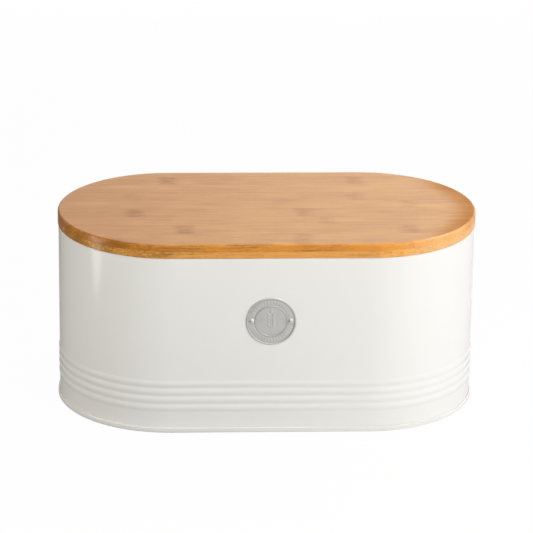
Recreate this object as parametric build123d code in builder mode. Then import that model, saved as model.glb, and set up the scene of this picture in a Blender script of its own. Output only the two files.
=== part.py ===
from build123d import *
from math import atan, degrees, floor, sin
import os

# Oblong bread box: a seamed and enamelled steel bin, a lift-off lid of laminated
# bamboo with a locating plug and a seal, and a riveted badge on the front.
#
# Millimetres. The origin is the middle of the footprint on the surface that the
# box stands on. +X runs along the length, +Y to the back, +Z up.

# Bin, measured over the outside of the wall
BIN_LENGTH = 334.0
BIN_DEPTH = 177.4
RIM_HEIGHT = 146.0
SHEET = 0.45

# Curled rim at the top of the wall, outside diameter of the curl
RIM_CURL = 3.0

# Raised beads round the foot of the wall
BEAD_COUNT = 4
BEAD_PITCH = 6.8
BEAD_HEIGHT = 0.55
BEAD_BAND_BOTTOM = 17.3

# Double seam between the wall and the base
SEAM_HEIGHT = 4.2
SEAM_FILM = 0.05
SEAM_CORNER = 0.55

# Base panel: a flat rim inside the seam and a raised middle
PANEL_HEIGHT = 5.2
PANEL_CORNER = 1.6
PANEL_RIM_WIDTH = 9.0
PANEL_STEP = 1.2
PANEL_PLATEAU_EDGE = 4.0

# Lid: two plies of slats that run along X
LID_OVERHANG = 0.5
LID_SEAT_GAP = 0.1
PLY = 5.7
LID_TOP_ROUND = 2.0
LID_BOTTOM_BEVEL = 0.6
SLAT_WIDTH = 20.0
UPPER_FRONT_SLAT = 6.0
LOWER_FRONT_SLAT = 16.0
LEAST_SLAT = 6.0

# Plug under the lid, and the seal in its groove
PLUG_DEPTH = 9.0
PLUG_GAP = 1.2
PLUG_CHAMFER = 1.0
SEAL_HEIGHT = 3.0
SEAL_ROOT = 1.8
SEAL_CLEARANCE = 0.3

# Badge and its two rivets
BADGE_DIAMETER = 39.5
BADGE_CENTRE_HEIGHT = 93.9
BADGE_SHEET = 0.6
BADGE_RIM_WIDTH = 1.6
BADGE_RIM_HEIGHT = 0.45
BADGE_RING_DIAMETER = 25.0
BADGE_RING_WIDTH = 1.0
BADGE_RING_HEIGHT = 0.3
RIVET_SPACING = 30.6
RIVET_HEAD_DIAMETER = 4.4
RIVET_HEAD_HEIGHT = 0.9
RIVET_SHANK_DIAMETER = 2.4
RIVET_TAIL_DIAMETER = 3.8
RIVET_TAIL_HEIGHT = 0.8
RIVET_CLEARANCE = 0.05

# The oblong plan: two straight runs and two half-round ends. Every level of the
# box is this plan with another end radius.
WALL_RADIUS = BIN_DEPTH / 2
HALF_RUN = (BIN_LENGTH - BIN_DEPTH) / 2
END_AXIS = Axis((HALF_RUN, 0, 0), (0, 0, 1))

# A section is drawn where the front run meets the right-hand end: its x is the
# distance from the end's axis, its y is the height.
SECTION_PLANE = Plane(origin=(HALF_RUN, 0, 0), x_dir=(0, -1, 0), z_dir=(-1, 0, 0))

# The badge stands on the flat front of the wall, and what is turned about the
# axis of the badge or of a rivet is drawn as radius and height above the wall.
FRONT_PLANE = Plane.XZ.offset(WALL_RADIUS)


def carry_round(section):
    """Carry a section round the plan: half a run and a quarter turn, mirrored twice."""
    extrude(amount=HALF_RUN)
    revolve(section, axis=END_AXIS, revolution_arc=90)
    mirror(about=Plane.XZ)
    mirror(about=Plane.YZ)


def oblong(end_radius, mode=Mode.ADD):
    """The plan, filled, with the given end radius."""
    SlotOverall(2 * (HALF_RUN + end_radius), 2 * end_radius, mode=mode)


def rivet_holes():
    """The two holes that the badge and the wall share, as circles on the front."""
    with Locations((0, BADGE_CENTRE_HEIGHT)):
        with GridLocations(RIVET_SPACING, 0, 2, 1):
            Circle(RIVET_SHANK_DIAMETER / 2 + RIVET_CLEARANCE)


def turning_plane(x):
    """Section plane of a piece turned about an axis that stands on the front at x."""
    return Plane(
        origin=(x, -WALL_RADIUS, BADGE_CENTRE_HEIGHT), x_dir=(1, 0, 0), z_dir=(0, 0, -1)
    )


def turning_axis(x):
    return Axis((x, -WALL_RADIUS, BADGE_CENTRE_HEIGHT), (0, -1, 0))


def write(piece, name):
    piece.part.label = name
    export_step(piece.part, f"parts/{name}.step")
    print(f"{name}: {piece.part.volume:.1f} mm3")


os.makedirs("parts", exist_ok=True)

# Layers of the double seam. Seen from inside the bin they are the chuck wall of
# the base, the wall, the base's cover hook, the wall's body hook and the base's
# outer band. Lines are drawn along the middle of the sheet.
LAYER = SHEET + SEAM_FILM
WALL_LINE = WALL_RADIUS - SHEET / 2
CHUCK_LINE = WALL_LINE - LAYER
COVER_HOOK_LINE = WALL_LINE + LAYER
BODY_HOOK_LINE = WALL_LINE + 2 * LAYER
SEAM_BAND_LINE = WALL_LINE + 3 * LAYER
FOOT_LEVEL = SHEET / 2
FOLD_LEVEL = FOOT_LEVEL + LAYER
SEAM_ROOF_LEVEL = SEAM_HEIGHT - SHEET / 2
HOOK_BEND = 0.9 * LAYER
FOOT_BEND = HOOK_BEND + LAYER

# Bin wall: from the tip of the body hook, round the fold, up over the beads,
# which are equal arcs that bend in and out by turns, and into the rim's curl
BEAD_BEND = 2 * atan(2 * BEAD_HEIGHT / BEAD_PITCH)
BEAD_RADIUS = BEAD_PITCH / 4 / sin(BEAD_BEND)
BEAD_TURN = degrees(BEAD_BEND)

with BuildPart() as bin_wall:
    with BuildSketch(SECTION_PLANE) as wall_section:
        with BuildLine():
            foot = FilletPolyline(
                (BODY_HOOK_LINE, SEAM_ROOF_LEVEL - 2 * LAYER),
                (BODY_HOOK_LINE, FOLD_LEVEL),
                (WALL_LINE, FOLD_LEVEL),
                (WALL_LINE, BEAD_BAND_BOTTOM),
                radius=HOOK_BEND,
            )
            bend = JernArc(foot @ 1, (0, 1), BEAD_RADIUS, -BEAD_TURN)
            for bead in range(1, BEAD_COUNT + 1):
                valley_turn = BEAD_TURN if bead == BEAD_COUNT else 2 * BEAD_TURN
                bend = JernArc(bend @ 1, bend % 1, BEAD_RADIUS, 2 * BEAD_TURN)
                bend = JernArc(bend @ 1, bend % 1, BEAD_RADIUS, -valley_turn)
            side = Line(bend @ 1, (WALL_LINE, RIM_HEIGHT - RIM_CURL / 2))
            JernArc(side @ 1, (0, 1), (RIM_CURL - SHEET) / 2, 270)
        trace(line_width=SHEET)
    carry_round(wall_section.sketch)
    with BuildSketch(FRONT_PLANE):
        rivet_holes()
    extrude(amount=-2 * SHEET, mode=Mode.SUBTRACT)
write(bin_wall, "bin_wall")

# Base panel: from the raised middle, over the panel's rim, down the chuck wall,
# round the foot of the wall and over the body hook to the tip of the cover hook
STEP_RADIUS = CHUCK_LINE - PANEL_RIM_WIDTH
PLATEAU_RADIUS = STEP_RADIUS - PANEL_STEP - PANEL_PLATEAU_EDGE
PANEL_LEVEL = PANEL_HEIGHT - SHEET / 2
PLATEAU_LEVEL = PANEL_LEVEL + PANEL_STEP

with BuildPart() as base_panel:
    with BuildSketch(SECTION_PLANE) as panel_section:
        with BuildLine():
            FilletPolyline(
                (PLATEAU_RADIUS, PLATEAU_LEVEL),
                (STEP_RADIUS - PANEL_STEP, PLATEAU_LEVEL),
                (STEP_RADIUS, PANEL_LEVEL),
                (CHUCK_LINE, PANEL_LEVEL),
                (CHUCK_LINE, FOOT_LEVEL),
                (SEAM_BAND_LINE, FOOT_LEVEL),
                (SEAM_BAND_LINE, SEAM_ROOF_LEVEL),
                (COVER_HOOK_LINE, SEAM_ROOF_LEVEL),
                (COVER_HOOK_LINE, FOLD_LEVEL + 2 * LAYER),
                radius=[
                    PANEL_STEP,
                    PANEL_STEP,
                    PANEL_CORNER,
                    SEAM_CORNER,
                    FOOT_BEND,
                    HOOK_BEND,
                    HOOK_BEND,
                ],
            )
        trace(line_width=SHEET)
    carry_round(panel_section.sketch)
    with BuildSketch(Plane.XY.offset(PLATEAU_LEVEL - SHEET / 2)):
        oblong(PLATEAU_RADIUS)
    extrude(amount=SHEET)
write(base_panel, "base_panel")

# Lid plies. Each ply is a board with round ends, sawn along X into its slats.
LID_RADIUS = WALL_RADIUS + LID_OVERHANG
LID_LENGTH = 2 * (HALF_RUN + LID_RADIUS)
LID_UNDERSIDE = RIM_HEIGHT + LID_SEAT_GAP
LID_MIDDLE = LID_UNDERSIDE + PLY


def slat_edges(front_slat):
    """Glue lines from front to back: one odd slat, whole slats, and what is left."""
    whole_slats = floor((2 * LID_RADIUS - front_slat - LEAST_SLAT) / SLAT_WIDTH)
    first_line = front_slat - LID_RADIUS
    lines = [first_line + count * SLAT_WIDTH for count in range(whole_slats + 1)]
    return [-LID_RADIUS, *lines, LID_RADIUS]


def write_slats(ply_name, underside, front_slat, ease_edge):
    """Make and write every slat of one ply, once ease_edge has eased the ply's outer edge."""
    edges = slat_edges(front_slat)
    for number, (front, back) in enumerate(zip(edges, edges[1:]), start=1):
        with BuildPart() as slat:
            with BuildSketch(Plane.XY.offset(underside)):
                oblong(LID_RADIUS)
            extrude(amount=PLY)
            ease_edge(slat.faces().sort_by(Axis.Z))
            with Locations((0, (front + back) / 2, underside + PLY / 2)):
                Box(LID_LENGTH, back - front, PLY, mode=Mode.INTERSECT)
        write(slat, f"{ply_name}_{number}")


def bevel_underside(faces):
    chamfer(faces[0].edges(), LID_BOTTOM_BEVEL)


def round_top(faces):
    fillet(faces[-1].edges(), LID_TOP_ROUND)


write_slats("lid_lower_slat", LID_UNDERSIDE, LOWER_FRONT_SLAT, bevel_underside)
write_slats("lid_upper_slat", LID_MIDDLE, UPPER_FRONT_SLAT, round_top)

# Plug, glued under the lower ply, with a groove at the height of the rim's curl
RIM_OPENING_RADIUS = WALL_RADIUS - RIM_CURL
PLUG_RADIUS = RIM_OPENING_RADIUS - PLUG_GAP
GROOVE_RADIUS = PLUG_RADIUS - SEAL_ROOT
SEAL_LEVEL = RIM_HEIGHT - RIM_CURL / 2

with BuildPart() as lid_plug:
    with BuildSketch(Plane.XY.offset(LID_UNDERSIDE)):
        oblong(PLUG_RADIUS)
    extrude(amount=-PLUG_DEPTH)
    chamfer(lid_plug.faces().sort_by(Axis.Z)[0].edges(), PLUG_CHAMFER)
    with BuildSketch(Plane.XY.offset(SEAL_LEVEL - SEAL_HEIGHT / 2)):
        oblong(PLUG_RADIUS)
        oblong(GROOVE_RADIUS, mode=Mode.SUBTRACT)
    extrude(amount=SEAL_HEIGHT, mode=Mode.SUBTRACT)
write(lid_plug, "lid_plug")

# Seal: a square root that fills the groove and a half-round lip towards the rim
with BuildPart() as lid_seal:
    with BuildSketch(SECTION_PLANE) as seal_section:
        with BuildLine():
            low = SEAL_LEVEL - SEAL_HEIGHT / 2
            high = SEAL_LEVEL + SEAL_HEIGHT / 2
            root = Polyline(
                (PLUG_RADIUS, low), (GROOVE_RADIUS, low), (GROOVE_RADIUS, high), (PLUG_RADIUS, high)
            )
            lip_tip = (RIM_OPENING_RADIUS - SEAL_CLEARANCE, SEAL_LEVEL)
            ThreePointArc(root @ 1, lip_tip, root @ 0)
        make_face()
    carry_round(seal_section.sketch)
write(lid_seal, "lid_seal")

# Badge: a thin disc with a half-round rim and a finer half-round ring inside it
BADGE_RADIUS = BADGE_DIAMETER / 2
RING_RADIUS = BADGE_RING_DIAMETER / 2

with BuildPart() as badge_plate:
    with BuildSketch(turning_plane(0)):
        with BuildLine():
            Polyline((0, BADGE_SHEET), (0, 0), (BADGE_RADIUS, 0), (BADGE_RADIUS, BADGE_SHEET))
            rim = ThreePointArc(
                (BADGE_RADIUS, BADGE_SHEET),
                (BADGE_RADIUS - BADGE_RIM_WIDTH / 2, BADGE_SHEET + BADGE_RIM_HEIGHT),
                (BADGE_RADIUS - BADGE_RIM_WIDTH, BADGE_SHEET),
            )
            ring = ThreePointArc(
                (RING_RADIUS + BADGE_RING_WIDTH / 2, BADGE_SHEET),
                (RING_RADIUS, BADGE_SHEET + BADGE_RING_HEIGHT),
                (RING_RADIUS - BADGE_RING_WIDTH / 2, BADGE_SHEET),
            )
            Line(rim @ 1, ring @ 0)
            Line(ring @ 1, (0, BADGE_SHEET))
        make_face()
    revolve(axis=turning_axis(0))
    with BuildSketch(FRONT_PLANE):
        rivet_holes()
    extrude(amount=BADGE_SHEET, mode=Mode.SUBTRACT)
write(badge_plate, "badge_plate")

# Rivets: a dome on the badge, a shank through badge and wall, and a closed tail
for side, rivet_x in (("left", -RIVET_SPACING / 2), ("right", RIVET_SPACING / 2)):
    with BuildPart() as rivet:
        with BuildSketch(turning_plane(rivet_x)):
            with BuildLine():
                crown = (0, BADGE_SHEET + RIVET_HEAD_HEIGHT)
                TangentArc(crown, (RIVET_HEAD_DIAMETER / 2, BADGE_SHEET), tangent=(1, 0))
                Polyline(
                    (RIVET_HEAD_DIAMETER / 2, BADGE_SHEET),
                    (RIVET_SHANK_DIAMETER / 2, BADGE_SHEET),
                    (RIVET_SHANK_DIAMETER / 2, -SHEET),
                    (RIVET_TAIL_DIAMETER / 2, -SHEET),
                    (RIVET_TAIL_DIAMETER / 2, -SHEET - RIVET_TAIL_HEIGHT),
                    (0, -SHEET - RIVET_TAIL_HEIGHT),
                    crown,
                )
            make_face()
        revolve(axis=turning_axis(rivet_x))
    write(rivet, f"badge_rivet_{side}")
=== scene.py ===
# %% [markdown]
# # An oblong bread box, dressed
#
# The frame is a solid model of an enamelled steel bin with round ends and a lift-off bamboo lid.
# This lesson rebuilds every visible piece as a fine surface, gives each its finish, and lights the
# box as a studio would. The solids stay underneath as the frame: they say where each piece goes,
# which body carries it and how it moves.

import bmesh
import bpy
import numpy as np
from mathutils import Matrix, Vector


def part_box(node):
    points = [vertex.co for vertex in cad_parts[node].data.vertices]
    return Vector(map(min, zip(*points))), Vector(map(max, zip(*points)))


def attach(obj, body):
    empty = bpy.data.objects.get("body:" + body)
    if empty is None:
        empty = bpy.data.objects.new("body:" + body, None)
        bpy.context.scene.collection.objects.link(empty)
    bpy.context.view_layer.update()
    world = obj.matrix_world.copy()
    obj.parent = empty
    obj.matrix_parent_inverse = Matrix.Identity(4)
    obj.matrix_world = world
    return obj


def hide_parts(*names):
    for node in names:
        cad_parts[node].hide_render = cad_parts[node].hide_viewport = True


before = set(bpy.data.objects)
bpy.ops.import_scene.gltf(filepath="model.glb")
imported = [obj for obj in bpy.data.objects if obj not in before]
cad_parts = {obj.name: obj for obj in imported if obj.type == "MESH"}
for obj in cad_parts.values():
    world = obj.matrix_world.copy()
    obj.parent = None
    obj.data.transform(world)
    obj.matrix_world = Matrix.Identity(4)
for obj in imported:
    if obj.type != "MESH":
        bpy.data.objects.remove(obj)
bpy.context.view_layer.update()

# %% [markdown]
# ## The plan
#
# Seen from above, every level of this box is the same oblong: two straight runs and two half-round
# ends. We could model a quarter and mirror it, but one lap of stops is simpler. Each stop has a
# foot on the middle line and a direction that points straight out of the box, so any radius gives
# the point foot + radius x direction, and a whole wall is one array expression.

# %% One lap of the plan
MM = 0.001
WALL_RADIUS = 88.7 * MM
HALF_RUN = 78.3 * MM
RUN_STEPS = 20
TURN_STEPS = 84


def plan_lap(run_steps, turn_steps):
    """Feet and directions of one lap, anticlockwise seen from above.

    A run slides its foot along the middle line and keeps its direction. An end keeps its foot and
    swings its direction through half a turn. The second half is the first one turned by 180 degrees.
    """
    slide = np.linspace(-HALF_RUN, HALF_RUN, run_steps, endpoint=False)
    swing = np.linspace(-np.pi / 2, np.pi / 2, turn_steps, endpoint=False)
    half_foot = np.concatenate([slide, np.full(turn_steps, HALF_RUN)])
    half_angle = np.concatenate([np.full(run_steps, -np.pi / 2), swing])
    foot = np.concatenate([half_foot, -half_foot])
    angle = np.concatenate([half_angle, half_angle + np.pi])
    return foot, np.cos(angle), np.sin(angle)


def carry_round(profile, lap):
    """Grid of points: row i is the lap at the i-th radius and height of the profile.

    The profile is an array of complex numbers, radius + height x 1j, and a point is
    (foot + radius x direction along X, radius x direction along Y, height).
    """
    foot, along, across = lap
    radius = profile.real[:, None]
    height = np.broadcast_to(profile.imag[:, None], (len(profile), len(foot)))
    return np.stack([foot + radius * along, radius * across, height], axis=-1)


LAP = plan_lap(RUN_STEPS, TURN_STEPS)
print("one lap has", len(LAP[0]), "stops; half a straight run is", round(HALF_RUN / MM, 2), "mm")

# %% [markdown]
# ## From a grid to a piece
#
# A grid of points becomes a mesh when every four neighbours make a face. Rows that shrink to a line
# or a point leave doubled vertices, so they are merged and the normals are turned outwards. The new
# piece then rides on its body, and the solid it stands for is hidden.

# %% Grids and pieces
MERGE_DISTANCE = 1e-7
SHARP_ANGLE = np.radians(32)


def grid_faces(rows, columns, ring_rows, ring_columns, first=0):
    """Quads between neighbours of a grid that may close into a ring either way.

    The corners of a quad are its own stop, the next in the row, the one above that, the one above.
    """
    row = np.arange(rows if ring_rows else rows - 1)[:, None]
    column = np.arange(columns if ring_columns else columns - 1)[None, :]
    above = (row + 1) % rows
    after = (column + 1) % columns
    corners = [
        row * columns + column,
        row * columns + after,
        above * columns + after,
        above * columns + column,
    ]
    return first + np.stack(np.broadcast_arrays(*corners), axis=-1).reshape(-1, 4)


def add_piece(name, points, faces, body, node):
    """Mesh object from points and quads: doubles merged, faces outwards, smooth between sharp edges."""
    mesh = bpy.data.meshes.new(name)
    mesh.from_pydata(points.reshape(-1, 3).tolist(), [], faces.tolist())
    shell = bmesh.new()
    shell.from_mesh(mesh)
    bmesh.ops.remove_doubles(shell, verts=shell.verts, dist=MERGE_DISTANCE)
    bmesh.ops.dissolve_degenerate(shell, edges=shell.edges, dist=MERGE_DISTANCE)
    bmesh.ops.recalc_face_normals(shell, faces=shell.faces)
    open_edges = sum(not edge.is_manifold for edge in shell.edges)
    shell.to_mesh(mesh)
    shell.free()
    mesh.shade_smooth()
    mesh.set_sharp_from_angle(angle=SHARP_ANGLE)
    piece = bpy.data.objects.new(name, mesh)
    bpy.context.scene.collection.objects.link(piece)
    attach(piece, body)
    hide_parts(node)
    print(f"{name}: {len(mesh.polygons)} faces, {open_edges} open edges")
    return piece


# %% [markdown]
# ## Folded sheet
#
# The wall and the base are thin sheet, folded and rolled. A sheet is easiest to draw by the line
# along its middle: straights and arcs, one after the other, as a bending machine makes them. The
# outline follows by moving half a sheet to each side. Complex numbers keep this short, because a
# turn is a product with exp(1j x angle).

# %% Walking a line of straights and arcs
ARC_STEP = np.radians(11)


def walk(start, heading, moves):
    """Points and headings along straights and arcs.

    A move is (radius, amount). Radius 0 goes straight on by amount. Any other radius turns by amount
    in radians, left if positive, about a centre one radius to that side of the walker.
    """
    places = [np.array([start])]
    headings = [np.array([heading])]
    place = start
    for radius, amount in moves:
        if radius == 0:
            swept = np.zeros(1)
            leg = place + amount * np.exp(1j * heading) * np.ones(1)
        else:
            steps = max(3, int(np.ceil(abs(amount) / ARC_STEP)))
            swept = np.linspace(0, amount, steps + 1)[1:]
            arm = 1j * np.sign(amount) * radius * np.exp(1j * heading)
            leg = place + arm - arm * np.exp(1j * swept)
        places.append(leg)
        headings.append(heading + swept)
        place = leg[-1]
        heading = headings[-1][-1]
    return np.concatenate(places), np.concatenate(headings)


def round_corners(corners, radii):
    """Moves that follow the legs between corners and round each inner corner.

    An arc of radius r that turns by t cuts r x tan(t / 2) off both legs.
    """
    legs = np.diff(np.array(corners))
    turns = np.angle(legs[1:] / legs[:-1])
    cuts = np.array(radii) * np.tan(np.abs(turns) / 2)
    lengths = np.abs(legs) - np.append(0, cuts) - np.append(cuts, 0)
    straights = [(0, length) for length in lengths]
    arcs = list(zip(radii, turns))
    return [move for pair in zip(straights, arcs) for move in pair] + straights[-1:]


def sheet_outline(line, headings, thickness):
    """Out along the right-hand side of the middle line and back along its left-hand side."""
    left = 1j * np.exp(1j * headings) * thickness / 2
    return np.concatenate([line - left, (line + left)[::-1]])


# %% [markdown]
# ## Bin wall
#
# The wall is one steel sheet. Its foot is hooked outwards to lock into the base, four half-round
# beads stiffen it low down, and its top is curled inwards so that no cut edge is left to touch.
# A bump map could fake the beads, but then the outline of the box would stay straight, so the beads
# are arcs in the profile, which bend out and in by turns: crests and troughs of the same angle, with
# half a trough at each end of the band. The crests have the larger radius, so they are broad and the
# troughs between them narrow. The pitch and the height depend only on the sum of the two radii.

# %% Wall sizes
SHEET = 0.45 * MM
SEAM_FILM = 0.05 * MM
SEAM_HEIGHT = 4.2 * MM
LAYER = SHEET + SEAM_FILM
WALL_LINE = WALL_RADIUS - SHEET / 2
COVER_HOOK_LINE = WALL_LINE + LAYER
BODY_HOOK_LINE = WALL_LINE + 2 * LAYER
SEAM_BAND_LINE = WALL_LINE + 3 * LAYER
CHUCK_LINE = WALL_LINE - LAYER
FOOT_LEVEL = SHEET / 2
FOLD_LEVEL = FOOT_LEVEL + LAYER
SEAM_ROOF_LEVEL = SEAM_HEIGHT - SHEET / 2
HOOK_BEND = 0.9 * LAYER
FOOT_BEND = HOOK_BEND + LAYER
RIM_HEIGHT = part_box("bin_wall")[1].z
RIM_CURL = 3.0 * MM
RIM_TURN = 1.5 * np.pi

BEAD_COUNT = 4
BEAD_PITCH = 6.8 * MM
BEAD_HEIGHT = 0.55 * MM
BEAD_BAND_BOTTOM = 17.3 * MM
CREST_OVER_MEAN = 1.35
BEAD_BEND = 2 * np.arctan(2 * BEAD_HEIGHT / BEAD_PITCH)
CREST_RADIUS = CREST_OVER_MEAN * BEAD_PITCH / 4 / np.sin(BEAD_BEND)
TROUGH_RADIUS = BEAD_PITCH / 2 / np.sin(BEAD_BEND) - CREST_RADIUS
print("rim at", round(RIM_HEIGHT / MM, 2), "mm; radius of a crest", round(CREST_RADIUS / MM, 2), "mm,",
      "of a trough", round(TROUGH_RADIUS / MM, 2), "mm")

# %% Wall profile and piece
hook_tip = BODY_HOOK_LINE + 1j * (SEAM_ROOF_LEVEL - 2 * LAYER)
foot_moves = round_corners(
    [
        hook_tip,
        BODY_HOOK_LINE + 1j * FOLD_LEVEL,
        WALL_LINE + 1j * FOLD_LEVEL,
        WALL_LINE + 1j * BEAD_BAND_BOTTOM,
    ],
    [HOOK_BEND, HOOK_BEND],
)
half_trough = (TROUGH_RADIUS, -BEAD_BEND)
crest_and_trough = [(CREST_RADIUS, 2 * BEAD_BEND), (TROUGH_RADIUS, -2 * BEAD_BEND)]
bead_moves = [half_trough, *(crest_and_trough * BEAD_COUNT)[:-1], half_trough]
side_length = RIM_HEIGHT - RIM_CURL / 2 - BEAD_BAND_BOTTOM - BEAD_COUNT * BEAD_PITCH
rim_moves = [(0, side_length), ((RIM_CURL - SHEET) / 2, RIM_TURN)]
wall_line = walk(hook_tip, -np.pi / 2, foot_moves + bead_moves + rim_moves)
wall_grid = carry_round(sheet_outline(*wall_line, SHEET), LAP)
wall_faces = grid_faces(*wall_grid.shape[:2], ring_rows=True, ring_columns=True)
wall = add_piece("wall_sheet", wall_grid, wall_faces, "bin", "bin_wall")

# %% [markdown]
# ## Base
#
# The base is pressed from the same sheet: a raised middle, a flat rim, then the seam, where it folds
# round the foot of the wall and tucks in behind the wall's hook. From outside the seam shows as a
# plain band. The profile starts on the middle line, where the lap shrinks to a line, so the raised
# middle closes by itself.

# %% Base profile and piece
PANEL_RIM = 9.0 * MM
PANEL_HEIGHT = 5.2 * MM
STEP_RADIUS = CHUCK_LINE - PANEL_RIM
PANEL_LEVEL = PANEL_HEIGHT - SHEET / 2
PANEL_STEP = 1.2 * MM
PLATEAU_LEVEL = PANEL_LEVEL + PANEL_STEP
PANEL_CORNER = 1.6 * MM
SEAM_CORNER = 0.55 * MM

base_corners = [
    0 + 1j * PLATEAU_LEVEL,
    STEP_RADIUS - PANEL_STEP + 1j * PLATEAU_LEVEL,
    STEP_RADIUS + 1j * PANEL_LEVEL,
    CHUCK_LINE + 1j * PANEL_LEVEL,
    CHUCK_LINE + 1j * FOOT_LEVEL,
    SEAM_BAND_LINE + 1j * FOOT_LEVEL,
    SEAM_BAND_LINE + 1j * SEAM_ROOF_LEVEL,
    COVER_HOOK_LINE + 1j * SEAM_ROOF_LEVEL,
    COVER_HOOK_LINE + 1j * (FOLD_LEVEL + 2 * LAYER),
]
base_bends = [PANEL_STEP, PANEL_STEP, PANEL_CORNER, SEAM_CORNER, FOOT_BEND, HOOK_BEND, HOOK_BEND]
base_line = walk(base_corners[0], 0.0, round_corners(base_corners, base_bends))
base_grid = carry_round(sheet_outline(*base_line, SHEET), LAP)
base_faces = grid_faces(*base_grid.shape[:2], ring_rows=False, ring_columns=True)
base = add_piece("base_sheet", base_grid, base_faces, "bin", "base_panel")

# %% [markdown]
# ## Lid slats
#
# The lid is two plies of bamboo slats, glued edge to edge and then shaped to the oblong. A slat is
# what lies between two glue lines, so each level of it is a grid that runs along the slat and across
# it, with its ends on the oblong. The rims of those grids, stacked from the underside to the top,
# make the sides: the levels near the top shrink along a quarter circle, which rounds the outer edge,
# and a hair more at the glue lines, which leaves the fine groove between two sanded slats.

# %% Lid sizes
LID_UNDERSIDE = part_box("lid_lower_slat_5")[0].z
LID_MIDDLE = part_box("lid_upper_slat_5")[0].z
LID_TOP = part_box("lid_upper_slat_5")[1].z
LID_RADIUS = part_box("lid_upper_slat_10")[1].y
TOP_ROUND = 2.0 * MM
UNDER_BEVEL = 0.6 * MM
PLY_JOINT_BEVEL = 0.12 * MM
GLUE_GROOVE = 0.07 * MM
GROOVE_SHARPNESS = 8
FLAT_MARGIN = 0.5 * MM
ALONG_STEPS = 30
ACROSS_STEPS = 14
print("lid from", round(LID_UNDERSIDE / MM, 2), "to", round(LID_TOP / MM, 2), "mm, end radius",
      round(LID_RADIUS / MM, 2), "mm")

# %% The levels of a slat


def slat_level(front, back, inset, groove, height):
    """Grid over one level of a slat: along it from end to end, across it from front to back.

    Across, the angle of the end's arc grows evenly, so y = r sin(angle); along, x goes from minus to
    plus (half a run + r cos(angle)). Here r is the lid's end radius less the inset.
    """
    radius = LID_RADIUS - inset
    low = np.arcsin(np.clip((front + groove) / radius, -1, 1))
    high = np.arcsin(np.clip((back - groove) / radius, -1, 1))
    angle = np.linspace(low, high, ACROSS_STEPS)
    share = np.linspace(-1, 1, ALONG_STEPS)[:, None]
    x = share * (HALF_RUN + radius * np.cos(angle))
    y = np.broadcast_to(radius * np.sin(angle), x.shape)
    return np.stack([x, y, np.full(x.shape, height)], axis=-1)


def level_rim(level):
    """The border of a level, anticlockwise: front, right end, back, left end."""
    return np.concatenate([level[:-1, 0], level[-1, :-1], level[:0:-1, -1], level[0, :0:-1]])


def slat_surface(front, back, levels):
    """Points and faces of a slat: a cap below, the stacked rims, a cap on top."""
    stack = [slat_level(front, back, *level) for level in levels]
    sides = np.stack([level_rim(level) for level in stack])
    caps = [stack[0].reshape(-1, 3), stack[-1].reshape(-1, 3)]
    points = np.concatenate([*caps, sides.reshape(-1, 3)])
    cap_size = len(caps[0])
    faces = [
        grid_faces(ALONG_STEPS, ACROSS_STEPS, False, False),
        grid_faces(ALONG_STEPS, ACROSS_STEPS, False, False, first=cap_size),
        grid_faces(*sides.shape[:2], False, True, first=2 * cap_size),
    ]
    return points, np.concatenate(faces)


# %% The stacked levels of both plies
top_arc = np.radians(np.arange(0, 91, 10))
round_insets = TOP_ROUND * (1 - np.cos(top_arc))
round_grooves = GLUE_GROOVE * np.sin(top_arc) ** GROOVE_SHARPNESS
round_heights = LID_TOP - TOP_ROUND * (1 - np.sin(top_arc))
upper_levels = [
    (PLY_JOINT_BEVEL + FLAT_MARGIN, 0, LID_MIDDLE),
    (PLY_JOINT_BEVEL, 0, LID_MIDDLE),
    (0, 0, LID_MIDDLE + PLY_JOINT_BEVEL),
    *zip(round_insets, round_grooves, round_heights),
    (TOP_ROUND + FLAT_MARGIN, GLUE_GROOVE, LID_TOP),
]
lower_levels = [
    (UNDER_BEVEL + FLAT_MARGIN, 0, LID_UNDERSIDE),
    (UNDER_BEVEL, 0, LID_UNDERSIDE),
    (0, 0, LID_UNDERSIDE + UNDER_BEVEL),
    (0, 0, LID_MIDDLE - PLY_JOINT_BEVEL),
    (PLY_JOINT_BEVEL, 0, LID_MIDDLE),
    (PLY_JOINT_BEVEL + FLAT_MARGIN, 0, LID_MIDDLE),
]
print("levels of an upper slat:", len(upper_levels), "and of a lower slat:", len(lower_levels))

# %% [markdown]
# Bamboo is a grass: its stem is hollow, with a solid knuckle every hand's length or so. Split into
# strips, each knuckle shows as a short smoky band across a slat. Every slat lists its tone, where
# larger is lighter, and then for two knuckles the place along it in millimetres and the strength. A
# strength below zero is a pale scar. The finish reads all this from the mesh.

# %% Tones and knuckles of the slats
NO_KNUCKLE = (0.0, 0.0)
UPPER_SLATS = {
    1: (0.0, (25.0, 0.7), (6.0, -0.5)),
    2: (0.1, (25.0, 0.5), (-122.0, 0.4)),
    3: (0.0, (-67.0, 1.0), (110.0, 0.6)),
    4: (0.1, (46.0, 0.35), NO_KNUCKLE),
    5: (-0.4, (-106.0, 1.0), (29.6, 0.6)),
    6: (0.2, (114.0, 0.35), NO_KNUCKLE),
    7: (-0.2, (-108.0, 0.3), (72.5, 0.4)),
    8: (0.5, NO_KNUCKLE, NO_KNUCKLE),
    9: (0.1, (-78.0, 1.0), (75.0, 0.8)),
    10: (0.4, NO_KNUCKLE, NO_KNUCKLE),
}
LOWER_SLATS = {number: (0.3 - 0.2 * (number % 3), NO_KNUCKLE, NO_KNUCKLE) for number in range(1, 10)}
print("slats:", len(UPPER_SLATS), "in the upper ply and", len(LOWER_SLATS), "in the lower one")


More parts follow.
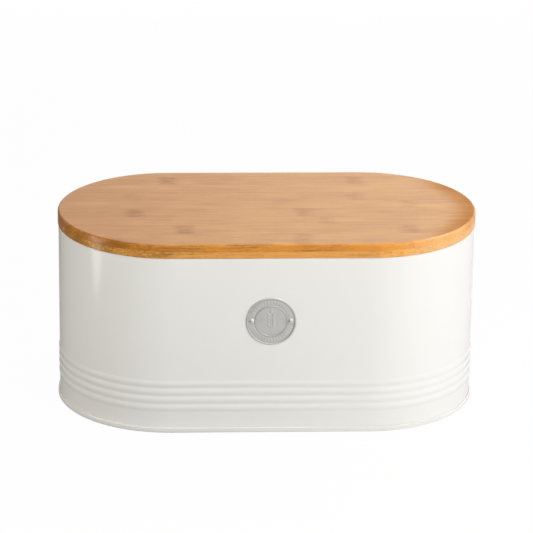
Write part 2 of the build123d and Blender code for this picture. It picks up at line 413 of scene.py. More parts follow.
def mark_slat(piece, seed, front, back, tone, knuckle_a, knuckle_b):
    """Three vectors on every vertex: the knuckles' places, their strengths, and the glue lines.

    The places are x of the two knuckles, and the seed. The strengths come with the slat's tone.
    """
    (place_a, strength_a), (place_b, strength_b) = knuckle_a, knuckle_b
    marks = {
        "knuckle_places": (place_a * MM, place_b * MM, seed),
        "knuckle_strengths": (strength_a, strength_b, tone),
        "glue_lines": (front, back, 0.0),
    }
    for name, vector in marks.items():
        layer = piece.data.attributes.new(name, "FLOAT_VECTOR", "POINT")
        layer.data.foreach_set("vector", np.tile(np.float32(vector), len(piece.data.vertices)))


# %% Slats of both plies
PLIES = (
    ("upper_slat", "lid_upper_slat", upper_levels, UPPER_SLATS, 0),
    ("lower_slat", "lid_lower_slat", lower_levels, LOWER_SLATS, 40),
)
slats = {"upper_slat": [], "lower_slat": []}
for piece_name, node_name, levels, slat_facts, first_seed in PLIES:
    for number, facts in slat_facts.items():
        node = f"{node_name}_{number}"
        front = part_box(node)[0].y
        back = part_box(node)[1].y
        points, faces = slat_surface(front, back, levels)
        slat = add_piece(f"{piece_name}_{number}", points, faces, "lid", node)
        mark_slat(slat, first_seed + number, front, back, *facts)
        slats[piece_name].append(slat)

# %% [markdown]
# ## Plug and seal
#
# Under the lid a third board drops into the rim and keeps the lid from sliding off, and a soft seal
# in a groove round it keeps the bread fresh. Both are profiles carried round the plan.

# %% Plug
PLUG_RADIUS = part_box("lid_plug")[1].y
PLUG_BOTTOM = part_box("lid_plug")[0].z
PLUG_CHAMFER = 1.0 * MM
SEAL_LEVEL = RIM_HEIGHT - RIM_CURL / 2
SEAL_HALF = 1.5 * MM
GROOVE_DEPTH = 1.8 * MM
GROOVE_RADIUS = PLUG_RADIUS - GROOVE_DEPTH
PLUG_SEED = 77
PLUG_FACTS = (0.1, (-70.0, 0.6), (90.0, 0.6))

plug_profile = np.array(
    [
        0 + 1j * PLUG_BOTTOM,
        PLUG_RADIUS - PLUG_CHAMFER - FLAT_MARGIN + 1j * PLUG_BOTTOM,
        PLUG_RADIUS - PLUG_CHAMFER + 1j * PLUG_BOTTOM,
        PLUG_RADIUS + 1j * (PLUG_BOTTOM + PLUG_CHAMFER),
        PLUG_RADIUS + 1j * (SEAL_LEVEL - SEAL_HALF),
        GROOVE_RADIUS + 1j * (SEAL_LEVEL - SEAL_HALF),
        GROOVE_RADIUS + 1j * (SEAL_LEVEL + SEAL_HALF),
        PLUG_RADIUS + 1j * (SEAL_LEVEL + SEAL_HALF),
        PLUG_RADIUS + 1j * LID_UNDERSIDE,
        PLUG_RADIUS - FLAT_MARGIN + 1j * LID_UNDERSIDE,
        0 + 1j * LID_UNDERSIDE,
    ]
)
plug_grid = carry_round(plug_profile, LAP)
plug_faces = grid_faces(*plug_grid.shape[:2], ring_rows=False, ring_columns=True)
plug = add_piece("plug_board", plug_grid, plug_faces, "lid", "lid_plug")
mark_slat(plug, PLUG_SEED, -PLUG_RADIUS, PLUG_RADIUS, *PLUG_FACTS)

# %% Seal
SEAL_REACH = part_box("lid_seal")[1].y
LIP_STOPS = 15
lip_rise = SEAL_REACH - PLUG_RADIUS
lip_radius = (SEAL_HALF**2 + lip_rise**2) / (2 * lip_rise)
lip_half_angle = np.arcsin(SEAL_HALF / lip_radius)
lip_angles = np.linspace(-lip_half_angle, lip_half_angle, LIP_STOPS)
lip_centre = SEAL_REACH - lip_radius + 1j * SEAL_LEVEL
seal_root = GROOVE_RADIUS + 1j * (SEAL_LEVEL + np.array([SEAL_HALF, -SEAL_HALF]))
seal_profile = np.concatenate([lip_centre + lip_radius * np.exp(1j * lip_angles), seal_root])
seal_grid = carry_round(seal_profile, LAP)
seal_faces = grid_faces(*seal_grid.shape[:2], ring_rows=True, ring_columns=True)
seal = add_piece("seal_ring", seal_grid, seal_faces, "lid", "lid_seal")

# %% [markdown]
# ## Badge
#
# The badge is a stamped disc of satin metal, held by two rivets. Stamping gives every point one
# height, so the front is a height over a polar grid: a half-round rim, a finer ring inside it, a
# border of short bars between them and a plain ear of wheat in the middle.

# %% The stamped heights
BADGE_RADIUS = 19.75 * MM
BADGE_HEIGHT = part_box("badge_plate")[1].z / 2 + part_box("badge_plate")[0].z / 2
BADGE_SHEET = 0.6 * MM
RIM_WIDTH = 1.6 * MM
RIM_RISE = 0.4 * MM
RING_RADIUS = 12.5 * MM
RING_WIDTH = 1.0 * MM
RING_RISE = 0.3 * MM
BAR_COUNT = 40
BAR_RISE = 0.13 * MM
STEM_WIDTH = 0.7 * MM
STEM_RISE = 0.2 * MM
GRAIN_RISE = 0.2 * MM
GRAIN_HALF_LENGTH = 2.1 * MM
GRAIN_HALF_WIDTH = 0.95 * MM
GRAIN_ROWS = 4
LOWEST_GRAIN = -3.4 * MM
GRAIN_PITCH = 2.9 * MM
GRAIN_ASIDE = 1.75 * MM
GRAIN_LEAN = 0.55
TOP_GRAIN = 8.0 * MM
RADIAL_STEPS = 90
BAR_STEPS = 10

# Each pair says where a soft step leaves 0 and where it reaches 1. The stem's are measured downwards.
BAR_STARTS = (13.9 * MM, 14.3 * MM)
BAR_ENDS = (16.6 * MM, 17.0 * MM)
BAR_EDGE = (-0.1, 0.5)
RIVET_GAP = (0.26, 0.3)
STEM_TOP = (-4 * MM, -3 * MM)
STEM_FOOT = (8.0 * MM, 8.5 * MM)
print("badge:", round(2 * BADGE_RADIUS / MM, 2), "mm wide, its middle", round(BADGE_HEIGHT / MM, 2), "mm up")


def half_round(distance, width, rise):
    """Height of a half-round rib: a circle's arc of that width and rise, by distance from its middle."""
    radius = (width**2 / 4 + rise**2) / (2 * rise)
    drop = radius - np.sqrt(np.maximum(radius**2 - distance**2, 0))
    return np.maximum(rise - drop, 0)


def soft_step(value, low, high):
    """0 below low, 1 above high, and 3 t^2 - 2 t^3 between them."""
    t = np.clip((value - low) / (high - low), 0, 1)
    return t * t * (3 - 2 * t)


def wheat_grain(across, up, centre_across, centre_up, lean):
    """Height of one grain: a pointed oval, highest along its middle, leaning by an angle."""
    sideways = (across - centre_across) * np.cos(lean) + (up - centre_up) * np.sin(lean)
    lengthways = (up - centre_up) * np.cos(lean) - (across - centre_across) * np.sin(lean)
    reach = (lengthways / GRAIN_HALF_LENGTH) ** 2 + (sideways / GRAIN_HALF_WIDTH) ** 2
    return GRAIN_RISE * np.sqrt(np.clip(1 - reach, 0, 1))


def badge_height(radius, angle):
    """Stamped height over the disc's back, as the sum of its sheet and its ribs, bars and grains."""
    across = radius * np.cos(angle)
    up = radius * np.sin(angle)
    height = BADGE_SHEET + half_round(radius - (BADGE_RADIUS - RIM_WIDTH / 2), RIM_WIDTH, RIM_RISE)
    height = height + half_round(radius - RING_RADIUS, RING_WIDTH, RING_RISE)
    bar_wave = np.cos(BAR_COUNT * angle)
    band = soft_step(radius, *BAR_STARTS) - soft_step(radius, *BAR_ENDS)
    clear_of_rivets = soft_step(np.abs(np.sin(angle)), *RIVET_GAP)
    height = height + BAR_RISE * band * clear_of_rivets * soft_step(bar_wave, *BAR_EDGE)
    stem = half_round(across, STEM_WIDTH, STEM_RISE) * soft_step(-up, *STEM_TOP)
    height = height + stem * (1 - soft_step(-up, *STEM_FOOT))
    for row in range(GRAIN_ROWS):
        for side in (-1, 1):
            grain_up = LOWEST_GRAIN + row * GRAIN_PITCH
            grain = wheat_grain(across, up, side * GRAIN_ASIDE, grain_up, -side * GRAIN_LEAN)
            height = np.maximum(height, BADGE_SHEET + grain)
    return np.maximum(height, BADGE_SHEET + wheat_grain(across, up, 0.0, TOP_GRAIN, 0.0))


# %% Badge piece


def turned_points(radius, angle, rise, x):
    """Points at a radius and angle about an axis that stands on the front wall, and a rise off it."""
    radius, angle, rise = np.broadcast_arrays(radius, angle, rise)
    return np.stack(
        [x + radius * np.cos(angle), -WALL_RADIUS - rise, BADGE_HEIGHT + radius * np.sin(angle)], axis=-1
    )


badge_angle = np.linspace(0, 2 * np.pi, BAR_COUNT * BAR_STEPS, endpoint=False)[None, :]
badge_radius = np.linspace(0, BADGE_RADIUS, RADIAL_STEPS)[:, None]
badge_front = turned_points(badge_radius, badge_angle, badge_height(badge_radius, badge_angle), 0.0)
badge_back = turned_points(badge_radius[::-1], badge_angle, 0.0, 0.0)[[0, -1]]
badge_grid = np.concatenate([badge_front, badge_back])
badge_faces = grid_faces(*badge_grid.shape[:2], ring_rows=False, ring_columns=True)
badge = add_piece("badge_disc", badge_grid, badge_faces, "bin", "badge_plate")

# %% [markdown]
# ## Rivets
#
# Each rivet is a profile turned about its own axis: a polished dome on the badge, a shank through
# both sheets and a flattened tail inside the bin.

# %% Rivet profile and pieces
HEAD_RADIUS = 2.2 * MM
HEAD_RISE = 0.9 * MM
SHANK_RADIUS = 1.2 * MM
TAIL_RADIUS = 1.9 * MM
TAIL_RISE = 0.8 * MM
TAIL_EDGE = 0.3 * MM
RIVET_STEPS = 48
DOME_STOPS = 14

dome_radius = (HEAD_RADIUS**2 + HEAD_RISE**2) / (2 * HEAD_RISE)
dome_angles = np.linspace(0, np.arcsin(HEAD_RADIUS / dome_radius), DOME_STOPS)
dome_drop = dome_radius * (1 - np.cos(dome_angles))
dome = dome_radius * np.sin(dome_angles) + 1j * (BADGE_SHEET + HEAD_RISE - dome_drop)
rivet_rest = np.array(
    [
        SHANK_RADIUS + 1j * BADGE_SHEET,
        SHANK_RADIUS - 1j * SHEET,
        TAIL_RADIUS - 1j * SHEET,
        TAIL_RADIUS - 1j * (SHEET + TAIL_RISE - TAIL_EDGE),
        TAIL_RADIUS - TAIL_EDGE - 1j * (SHEET + TAIL_RISE),
        0 - 1j * (SHEET + TAIL_RISE),
    ]
)
rivet_profile = np.concatenate([dome, rivet_rest])[:, None]
rivet_angle = np.linspace(0, 2 * np.pi, RIVET_STEPS, endpoint=False)[None, :]
rivets = []
for side in ("left", "right"):
    node = f"badge_rivet_{side}"
    rivet_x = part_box(node)[0].x / 2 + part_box(node)[1].x / 2
    rivet_grid = turned_points(rivet_profile.real, rivet_angle, rivet_profile.imag, rivet_x)
    rivet_faces = grid_faces(*rivet_grid.shape[:2], ring_rows=False, ring_columns=True)
    rivets.append(add_piece(f"rivet_{side}", rivet_grid, rivet_faces, "bin", node))

# %% [markdown]
# ## Finishes as expressions
#
# Shader maths reads better as Python than as a drawing of boxes. A Wire holds one socket, and adding
# or multiplying wires adds the Math nodes. Every other node comes from one method, which first makes
# the settings and then fills the sockets.

# %% A wire that Python operators work on


class Wire:
    """One output socket of a node tree. Operators add Math nodes, node() adds any other node."""

    def __init__(self, tree, socket):
        self.tree = tree
        self.socket = socket

    def node(self, kind, settings, sockets, output=0):
        """New node of a kind: its settings first, then values or wires for its sockets."""
        made = self.tree.nodes.new(kind)
        for name, value in settings.items():
            setattr(made, name, value)
        for key, value in sockets.items():
            if isinstance(value, Wire):
                self.tree.links.new(value.socket, made.inputs[key])
            else:
                made.inputs[key].default_value = value
        return Wire(self.tree, made.outputs[output])

    def math(self, operation, first, second=0.0):
        """Math node of one operation on values or wires."""
        return self.node("ShaderNodeMath", {"operation": operation}, {0: first, 1: second})

    def __add__(self, other):
        return self.math("ADD", self, other)

    def __radd__(self, other):
        return self.math("ADD", other, self)

    def __sub__(self, other):
        return self.math("SUBTRACT", self, other)

    def __rsub__(self, other):
        return self.math("SUBTRACT", other, self)

    def __mul__(self, other):
        return self.math("MULTIPLY", self, other)

    def __rmul__(self, other):
        return self.math("MULTIPLY", other, self)

    def __abs__(self):
        return self.math("ABSOLUTE", self)


# %% Short names for nodes that every finish uses


def ramp(value, low, high):
    """0 at low, 1 at high, smooth between; low may be the larger."""
    settings = {"interpolation_type": "SMOOTHSTEP"}
    return value.node("ShaderNodeMapRange", settings, {"Value": value, "From Min": low, "From Max": high})


def noise(place, scale, detail, roughness=0.5):
    """Cloudy noise around 0.5 at so many waves a metre along X, Y and Z."""
    stretched = place.node("ShaderNodeMapping", {}, {"Vector": place, "Scale": scale})
    sockets = {"Vector": stretched, "Scale": 1.0, "Detail": detail, "Roughness": roughness}
    return place.node("ShaderNodeTexNoise", {}, sockets)


def blend(share, first, second, mode="MIX"):
    """First colour at share 0, second at share 1, mixed in the given mode."""
    settings = {"data_type": "RGBA", "blend_type": mode, "clamp_factor": True}
    return share.node("ShaderNodeMix", settings, {"Factor": share, 6: first, 7: second}, output=2)


def relief(height, strength, distance):
    """Bump that turns a height between 0 and 1 into a normal."""
    return height.node("ShaderNodeBump", {}, {"Height": height, "Strength": strength, "Distance": distance})


def new_finish(name, constants):
    """Material with a Principled shader whose constant sockets are set; returns it and its place wire."""
    material = bpy.data.materials.new(name)
    material.use_nodes = True
    tree = material.node_tree
    shader = tree.nodes["Principled BSDF"]
    for socket, value in constants.items():
        shader.inputs[socket].default_value = value
    place = Wire(tree, tree.nodes.new("ShaderNodeTexCoord").outputs["Object"])
    return material, place


def feed(material, wires):
    """Link each wire to the named socket of the material's Principled shader."""
    tree = material.node_tree
    for socket, wire in wires.items():
        tree.links.new(wire.socket, tree.nodes["Principled BSDF"].inputs[socket])
    print(f"{material.name}: {len(tree.nodes)} nodes")


def dress(pieces, material):
    """Give every piece the material."""
    for piece in pieces:
        piece.data.materials.append(material)


# %% [markdown]
# ## Enamel
#
# The bin is sprayed with a warm white enamel and baked. Up close such a coat isn't flat: it has the
# shallow dimples called orange peel, clouds where it is a little thinner and so a little warmer and
# duller, and a fine speck here and there. All three come from noise, each at its own scale.

# %% Enamel finish
ENAMEL_WHITE = (0.86, 0.842, 0.806, 1)
ENAMEL_THIN = (0.84, 0.81, 0.755, 1)
PEEL_DEPTH = 0.2 * MM
enamel, place = new_finish("warm_white_enamel", {"IOR": 1.5})
cloud = noise(place, (14, 14, 9), 2)
peel = noise(place, (420, 420, 420), 1)
speck = ramp(noise(place, (1500, 1500, 1500), 0), 0.72, 0.8)
colour = blend(cloud * 0.3 + speck * 0.1, ENAMEL_WHITE, ENAMEL_THIN)
feed(
    enamel,
    {
        "Base Color": colour,
        "Roughness": 0.12 + cloud * 0.06,
        "Normal": relief(peel, 0.08, PEEL_DEPTH),
    },
)
dress([wall, base], enamel)

# %% [markdown]
# ## Bamboo
#
# Carbonised bamboo is honey brown with long straight fibres. The pattern is worked out in space, not
# painted on a side: noise that is stretched far along X gives streaks on the long faces and dots on
# the round ends, as in the real wood. The slat's own vectors add its tone, its glue lines and its
# knuckles. The wood is painted darker towards the left end, a painted shade where less light falls.
# The cut edge is a deeper brown than the face, with a paler stretch on the right that is painted light.
#
# A satin lacquer lies over the wood as the shader's coat and reflects the bright room, which makes
# the flat top look paler still. At the rim of the right end most of the lacquer is taken off and the
# wood is darkened, a painted shade where the room's reflection fades.

# %% Bamboo colours and sizes
FACE_LIGHT = (0.83, 0.44, 0.172, 1)
FACE_DARK = (0.61, 0.287, 0.104, 1)
UPPER_EDGE_LIGHT = (0.82, 0.325, 0.035, 1)
UPPER_EDGE_DARK = (0.4, 0.146, 0.016, 1)
LOWER_EDGE_LIGHT = (0.9, 0.425, 0.09, 1)
LOWER_EDGE_DARK = (0.36, 0.152, 0.027, 1)
# Pale edge colour: painted light on the right stretch of the cut edge.
PAINTED_LIGHT_EDGE = (0.92, 0.56, 0.25, 1)
FACE_KNUCKLE = (0.69, 0.61, 0.57, 1)
EDGE_KNUCKLE = (0.8, 0.62, 0.32, 1)
GLUE_BROWN = (0.55, 0.42, 0.3, 1)
# Painted shade at the rim of the right end, where the room's reflection fades.
RIM_SHADE_BROWN = (0.8, 0.7, 0.6, 1)

SEED_STRIDES = (1.7, 0.37, 0.61)
KNUCKLE_FRAY = 10 * MM
KNUCKLE_MARGIN = 4 * MM
FIBRE_DEPTH = 0.1 * MM

# Each pair says where a ramp is 0 and where it is 1.
FACE_TILT = (0.86, 0.99)
KNUCKLE_REACH = (10.5 * MM, 2 * MM)
GLUE_SPREAD = (0.4 * MM, 0.05 * MM)
# Where the painted light on the right of the cut edge rises and where it falls away.
PAINTED_LIGHT_STARTS = (90 * MM, 135 * MM)
PAINTED_LIGHT_ENDS = (162 * MM, 150 * MM)
# The painted shade of the right rim grows between these radii.
RIM_SHADE_RADII = (LID_RADIUS - 26 * MM, LID_RADIUS - 2 * MM)
RIM_SHADE_STARTS = (115 * MM, 150 * MM)
print("the lacquer's wear grows from", round(RIM_SHADE_RADII[0] / MM, 1), "to", round(RIM_SHADE_RADII[1] / MM, 1), "mm")

# %% Bamboo finish


def split(vector):
    """The X, Y and Z of a vector."""
    return [vector.node("ShaderNodeSeparateXYZ", {}, {0: vector}, output=axis) for axis in "XYZ"]


def moved(place, x, y, z):
    """A place moved by three values."""
    shift = place.node("ShaderNodeCombineXYZ", {}, {"X": x, "Y": y, "Z": z})
    return place.node("ShaderNodeVectorMath", {"operation": "ADD"}, {0: place, 1: shift})


def facing(place):
    """The direction that the surface faces, in the piece's own axes."""
    return place.node("ShaderNodeTexCoord", {}, {}, output="Normal")


def slat_mark(place, name):
    """The three values that mark_slat left on the mesh under a name."""
    return split(place.node("ShaderNodeAttribute", {"attribute_name": name}, {}, output="Vector"))


def knuckle_patch(place, seeded):
    """How much of a knuckle shows: full near its place along X, with an edge that frays along the fibres."""
    place_a, place_b, _ = slat_mark(place, "knuckle_places")
    strength_a, strength_b, _ = slat_mark(place, "knuckle_strengths")
    fray = noise(seeded, (25, 330, 330), 2) - 0.5
    along = split(place)[0] + fray * KNUCKLE_FRAY
    near_a = strength_a * ramp(abs(along - place_a), *KNUCKLE_REACH)
    near_b = strength_b * ramp(abs(along - place_b), *KNUCKLE_REACH)
    smoke = ramp(noise(seeded, (110, 230, 230), 2), 0.3, 0.7)
    return (near_a + near_b) * (0.4 + 0.6 * smoke)


def right_rim_shade_mask(place):
    """How much painted shade the right end gets: most at its rim, where the lacquer thins and the wood
    darkens.
    """
    x, y, _ = split(place)
    from_turn = place.node("ShaderNodeCombineXYZ", {}, {"X": x - HALF_RUN, "Y": y})
    radius = place.node("ShaderNodeVectorMath", {"operation": "LENGTH"}, {0: from_turn}, output="Value")
    return ramp(radius, *RIM_SHADE_RADII) * ramp(x, *RIM_SHADE_STARTS)


def bamboo_finish(name, edge_light, edge_dark):
    """Honey wood of one ply: its cut edge has two colours of its own, both plies share the face's two.

    The darkness, which goes from the light colour to the dark one, is a sum of streaks at five scales,
    the slat's tone and a painted shade that darkens the left end. Knuckles, the painted shade of the
    right rim and glue lines then multiply the colour; painted light makes the edge paler on the right.
    """
    material, place = new_finish(name, {"Specular IOR Level": 0.0, "Coat Roughness": 0.2, "Coat IOR": 1.5})
    seed = slat_mark(place, "knuckle_places")[2]
    tone = slat_mark(place, "knuckle_strengths")[2]
    front, back, _ = slat_mark(place, "glue_lines")
    seeded = moved(place, *[seed * stride for stride in SEED_STRIDES])
    x, y, _ = split(place)
    line_distance = place.math("MINIMUM", y - front, back - y)
    knuckle = knuckle_patch(place, seeded) * (0.45 + 0.55 * ramp(line_distance, 0, KNUCKLE_MARGIN))
    face = ramp(abs(split(facing(place))[2]), *FACE_TILT)
    # painted shade: less lacquer and darker wood at the rim of the right end
    right_rim_shade = right_rim_shade_mask(place) * face

    bands = noise(seeded, (5, 110, 110), 2) - 0.5
    fibres = noise(seeded, (24, 560, 560), 3, 0.6) - 0.5
    flecks = noise(seeded, (60, 1500, 1500), 1) - 0.5
    specks = noise(seeded, (300, 900, 900), 1) - 0.5
    patches = noise(seeded, (22, 70, 70), 2) - 0.5
    streaks = bands * 0.4 + fibres * (1.2 - face * 0.45) + flecks * (1.0 - face * 0.5)
    streaks = streaks + specks * (0.8 - face * 0.5) + patches * (1.4 - face * 0.7)
    pale_scar = place.math("MINIMUM", knuckle, 0.0)
    # painted shade: the wood grows darker towards the left end, where less light falls
    painted_left_shade = place.math("MAXIMUM", 0.0, 0.0 - x)

    middle = 0.22 + face * 0.28
    darkness = ramp(middle + streaks + pale_scar - tone * 0.1 + painted_left_shade * (4.0 - face * 2.4), 0, 1)
    # painted light: the cut edge turns paler on the right, where the light falls
    painted_right_light = ramp(x, *PAINTED_LIGHT_STARTS) * ramp(x, *PAINTED_LIGHT_ENDS)
    edge = blend(painted_right_light * 0.5, blend(darkness, edge_light, edge_dark), PAINTED_LIGHT_EDGE)
    wood = blend(face, edge, blend(darkness, FACE_LIGHT, FACE_DARK))
    wood = blend(knuckle * (1.6 - face * 0.6), wood, blend(face, EDGE_KNUCKLE, FACE_KNUCKLE), "MULTIPLY")
    # painted shade of the right rim darkens the wood
    wood = blend(right_rim_shade, wood, RIM_SHADE_BROWN, "MULTIPLY")
    wood = blend(ramp(line_distance, *GLUE_SPREAD) * 0.25, wood, GLUE_BROWN, "MULTIPLY")

    feed(
        material,
        {
            "Base Color": wood,
            "Roughness": 0.5 + fibres * 0.16,
            "Coat Weight": (1 - face * (0.32 - x * 0.8)) * (1 - right_rim_shade * 0.9),
            "Normal": relief(fibres, 0.1, FIBRE_DEPTH),
        },
    )
    return material


upper_bamboo = bamboo_finish("bamboo_upper_ply", UPPER_EDGE_LIGHT, UPPER_EDGE_DARK)
lower_bamboo = bamboo_finish("bamboo_lower_ply", LOWER_EDGE_LIGHT, LOWER_EDGE_DARK)
dress(slats["upper_slat"], upper_bamboo)
dress([*slats["lower_slat"], plug], lower_bamboo)

# %% [markdown]
# ## Satin metal and silicone
#
# The badge is stamped from a satin nickel sheet: brushed one way before stamping, and its colour is
# darker at the feet of its rim and ring. The rivets are of the same metal, polished by
# the tool that closes them. The seal is milky silicone.

# %% Nickel finishes
NICKEL = (0.82, 0.802, 0.768, 1)
NICKEL_DULL = (0.66, 0.642, 0.608, 1)
HOLLOW_GREY = (0.45, 0.44, 0.42, 1)
RIM_HOLLOW = 0.5 * MM
RING_HOLLOW = 0.4 * MM
BRUSH_DEPTH = 0.05 * MM


def badge_hollows(place):
    """1 at the feet of the badge's rim and ring, falling to 0 at a hollow's width from them.

    It goes by the distance from the badge's middle, less the radius of each foot.
    """
    from_middle = moved(place, 0, WALL_RADIUS, -BADGE_HEIGHT)
    radius = place.node("ShaderNodeVectorMath", {"operation": "LENGTH"}, {0: from_middle}, output="Value")
    at_rim = ramp(abs(radius - (BADGE_RADIUS - RIM_WIDTH)), RIM_HOLLOW, 0)
    return at_rim + ramp(abs(abs(radius - RING_RADIUS) - RING_WIDTH / 2), RING_HOLLOW, 0)


def nickel_finish(name, roughness, brushing):
    """Metal with brush lines along X; brushing scales how much they show."""
    material, place = new_finish(name, {"Metallic": 1.0})
    lines = noise(place, (60, 2400, 2400), 2)
    stain = noise(place, (160, 160, 160), 2)
    metal = blend(ramp(stain, 0.45, 0.8) * 0.4 + lines * brushing * 0.4, NICKEL, NICKEL_DULL)
    feed(
        material,
        {
            "Base Color": blend(badge_hollows(place) * brushing * 0.6, metal, HOLLOW_GREY, "MULTIPLY"),
            "Roughness": roughness + lines * brushing * 0.2,
            "Normal": relief(lines, 0.15 * brushing, BRUSH_DEPTH),
        },
    )
    return material


dress([badge], nickel_finish("satin_nickel", 0.24, 1.0))
dress(rivets, nickel_finish("polished_nickel", 0.2, 0.2))

# %% Silicone finish
SILICONE_MILKY = (0.8, 0.79, 0.76, 1)
SILICONE_DULL = (0.7, 0.69, 0.66, 1)
BLOOM_DEPTH = 0.2 * MM
silicone, place = new_finish("milky_silicone", {"IOR": 1.41, "Subsurface Weight": 0.2})
bloom = noise(place, (180, 180, 180), 2)
feed(
    silicone,
    {
        "Base Color": blend(bloom, SILICONE_MILKY, SILICONE_DULL),
        "Roughness": 0.42 + bloom * 0.16,
        "Normal": relief(bloom, 0.05, BLOOM_DEPTH),
    },
)
dress([seal], silicone)

# %% [markdown]
# ## Floor, room and lamps
#
# The box stands in a white studio. More light would make the floor white, but it would bleach the
# box too, so Light Path nodes make the room and the floor white to the camera. A small part of the
# floor stays matt paper, which keeps the box's faint shadow. Reflections see white on the right and
# grey on the left, which gives the enamel its gradient. The paper also throws more light back on the
# right than on the left.
#
# Ten soft boxes and the dim room give the light. Six boxes are hidden from reflections, because the
# lacquer and the enamel would mirror them as hard white panes. The other four are there to be
# mirrored: one as the sheen on the lid, one as glints on the badge and two as the soft strip down the
# left turn.

# %% White to the eye


def grey(level):
    """Colour with the same level of red, green and blue."""
    return (level, level, level, 1)


def seen_rays(tree):
    """Two wires: 1 for rays from the camera, and 1 for rays that a gloss or a glass sends on."""
    path = tree.nodes.new("ShaderNodeLightPath")
    camera = Wire(tree, path.outputs["Is Camera Ray"])
    glossy = Wire(tree, path.outputs["Is Glossy Ray"])
    through = Wire(tree, path.outputs["Is Transmission Ray"])
    return camera, glossy.math("MAXIMUM", glossy, through)


ROOM_LIGHT = 0.3
ROOM_TINT = (1, 0.985, 0.96, 1)
SWEEP_EDGE = (-0.45, -0.05)
SWEEP_LEFT = grey(0.4)
WHITE = grey(1)
world = bpy.data.worlds.new("white_room")
bpy.context.scene.world = world
world.use_nodes = True
tree = world.node_tree
camera_ray, gloss_ray = seen_rays(tree)
room = camera_ray.node("ShaderNodeBackground", {}, {"Color": ROOM_TINT, "Strength": ROOM_LIGHT})
direction = Wire(tree, tree.nodes.new("ShaderNodeTexCoord").outputs["Generated"])
bright = camera_ray.math("MAXIMUM", camera_ray, ramp(split(direction)[0], *SWEEP_EDGE))
sweep = blend(bright, SWEEP_LEFT, WHITE)
white = camera_ray.node("ShaderNodeBackground", {}, {"Color": sweep, "Strength": 1.0})
mixed = camera_ray.node("ShaderNodeMixShader", {}, {0: camera_ray + gloss_ray, 1: room, 2: white})
tree.links.new(mixed.socket, tree.nodes["World Output"].inputs["Surface"])
print("room light", ROOM_LIGHT)

# %% Floor
FLOOR_HALF = 12.0
FLOOR_GLOW = 0.96
FLOOR_GLOW_IN_GLOSS = 0.7
GLOW_EDGE = (-0.45, 0.2)
PAPER_EDGE = (-0.2, 0.25)
PAPER_LEFT = grey(0.24)
PAPER_RIGHT = grey(0.76)
PAPER_IN_GLOSS = grey(0.2)
PAPER_SEEN = grey(0.95)
floor_mesh = bpy.data.meshes.new("floor")
floor_corners = FLOOR_HALF * np.array([[-1, -1, 0], [1, -1, 0], [1, 1, 0], [-1, 1, 0]])
floor_mesh.from_pydata(floor_corners.tolist(), [], [[0, 1, 2, 3]])
floor = bpy.data.objects.new("floor", floor_mesh)
bpy.context.scene.collection.objects.link(floor)

floor_paper = bpy.data.materials.new("floor_paper")
floor_paper.use_nodes = True
tree = floor_paper.node_tree
camera_ray, gloss_ray = seen_rays(tree)
place = Wire(tree, tree.nodes.new("ShaderNodeTexCoord").outputs["Object"])
right_side = ramp(split(place)[0], *GLOW_EDGE)
lit_paper = blend(ramp(split(place)[0], *PAPER_EDGE), PAPER_LEFT, PAPER_RIGHT)
paper_colour = blend(gloss_ray, lit_paper, PAPER_IN_GLOSS)
paper_colour = blend(camera_ray, paper_colour, PAPER_SEEN)
paper = camera_ray.node("ShaderNodeBsdfDiffuse", {}, {"Color": paper_colour})
glow = camera_ray.node("ShaderNodeEmission", {}, {"Color": WHITE, "Strength": 1.0})
share = camera_ray * FLOOR_GLOW + gloss_ray * right_side * FLOOR_GLOW_IN_GLOSS
mixed = camera_ray.node("ShaderNodeMixShader", {}, {0: share, 1: paper, 2: glow})
tree.links.new(mixed.socket, tree.nodes["Material Output"].inputs["Surface"])
floor_mesh.materials.append(floor_paper)
print("floor:", 2 * FLOOR_HALF, "m wide, glow", FLOOR_GLOW, "seen and", FLOOR_GLOW_IN_GLOSS, "mirrored")

# %% Lamps


def soft_box(name, place, aim, width, height, power, tint=(1, 1, 1), shape="RECTANGLE", in_gloss=False):
    """Flat lamp at a place, turned so that its face looks at the aim; in_gloss shows it in reflections."""
    lamp = bpy.data.lights.new(name, "AREA")
    lamp.shape = shape
    lamp.color = tint
    lamp.size = width
    lamp.size_y = height
    lamp.energy = power
    holder = bpy.data.objects.new(name, lamp)
    holder.visible_glossy = in_gloss
    bpy.context.scene.collection.objects.link(holder)
    back = np.array(place) - np.array(aim)
    back = back / np.linalg.norm(back)
    side = np.cross((0, 0, 1), back)
    side = side / np.linalg.norm(side)
    turned = np.stack([side, np.cross(back, side), back], axis=1)
    holder.matrix_world = Matrix.Translation(place) @ Matrix(turned.tolist()).to_4x4()
    print(f"{name}: {power} W over {width} x {height} m")


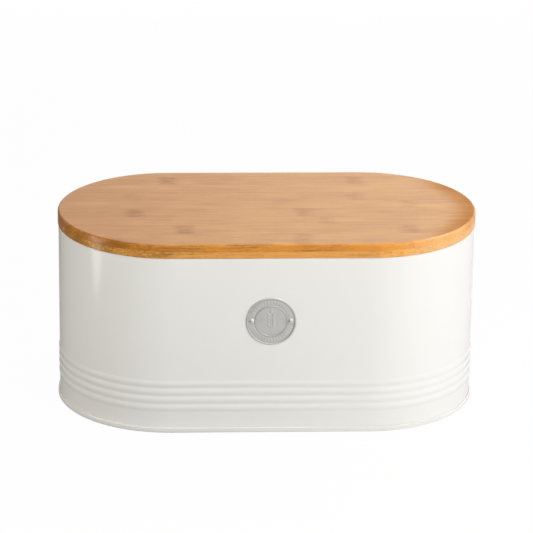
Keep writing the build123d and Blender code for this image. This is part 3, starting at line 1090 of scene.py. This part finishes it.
MIDDLE = (0.0, 0.0, 0.08)
LID_RIGHT = (0.04, 0.0, 0.15)
LEFT_TURN = (-0.137, -0.067, 0.1)
COOL = (0.955, 0.975, 1.0)
WARM = (1.0, 0.985, 0.95)
soft_box("right_box", (0.75, -0.8, 0.6), MIDDLE, 0.6, 0.6, 3.7, COOL)
soft_box("end_box", (0.95, -0.4, 0.5), MIDDLE, 0.6, 0.6, 1.55, COOL)
soft_box("left_box", (-0.6, -0.9, 0.55), MIDDLE, 0.6, 0.6, 3.15, WARM)
soft_box("front_box", (1.3, -1.95, 0.65), MIDDLE, 2.0, 1.3, 12.9, COOL)
soft_box("lid_box", (0.39, 0.21, 0.64), LID_RIGHT, 0.6, 0.25, 1.4, in_gloss=True)
soft_box("back_box", (0.8, 1.6, 1.62), MIDDLE, 1.4, 1.4, 8.2)
soft_box("rear_box", (0.0, 1.5, 0.15), MIDDLE, 1.4, 0.25, 4.6)
soft_box("glint_box", (0.6, -0.55, 1.0), MIDDLE, 0.14, 0.14, 0.6, in_gloss=True)
soft_box("strip_box", (-0.435, -0.115, 0.14), LEFT_TURN, 0.12, 0.26, 0.2, WARM, "ELLIPSE", in_gloss=True)
soft_box("low_box", (-0.44, -0.18, 0.15), LEFT_TURN, 0.16, 0.24, 0.055, WARM, in_gloss=True)

# %% [markdown]
# ## Camera
#
# The camera stands 2.5 m away and looks down by about 20 degrees through a long lens, which keeps the
# sides of the box nearly parallel. Its direction, the small turn to the side and the slight roll were
# fitted to the outline in the photograph.

# %% Camera
PITCH = np.radians(20.19)
YAW = np.radians(2.87)
ROLL = np.radians(0.73)
CAMERA_DISTANCE = 2.5
CAMERA_AIM = np.array([0.2, 0.0, 106.8]) * MM
SENSOR_WIDTH = 36.0
IMAGE_PIXELS = 533
FOCAL_PIXELS = 3097

forward = np.array([np.sin(YAW) * np.cos(PITCH), np.cos(YAW) * np.cos(PITCH), -np.sin(PITCH)])
level_right = np.array([np.cos(YAW), -np.sin(YAW), 0.0])
level_up = np.cross(level_right, forward)
right = np.cos(ROLL) * level_right + np.sin(ROLL) * level_up
up = np.cos(ROLL) * level_up - np.sin(ROLL) * level_right
camera_data = bpy.data.cameras.new("camera")
camera_data.sensor_width = SENSOR_WIDTH
camera_data.lens = FOCAL_PIXELS / IMAGE_PIXELS * SENSOR_WIDTH
camera = bpy.data.objects.new("camera", camera_data)
bpy.context.scene.collection.objects.link(camera)
turned = Matrix(np.stack([right, up, -forward], axis=1).tolist()).to_4x4()
camera.matrix_world = Matrix.Translation(CAMERA_AIM - CAMERA_DISTANCE * forward) @ turned
bpy.context.scene.camera = camera
bpy.context.scene.view_settings.view_transform = "Standard"
print("lens", round(camera_data.lens, 1), "mm")
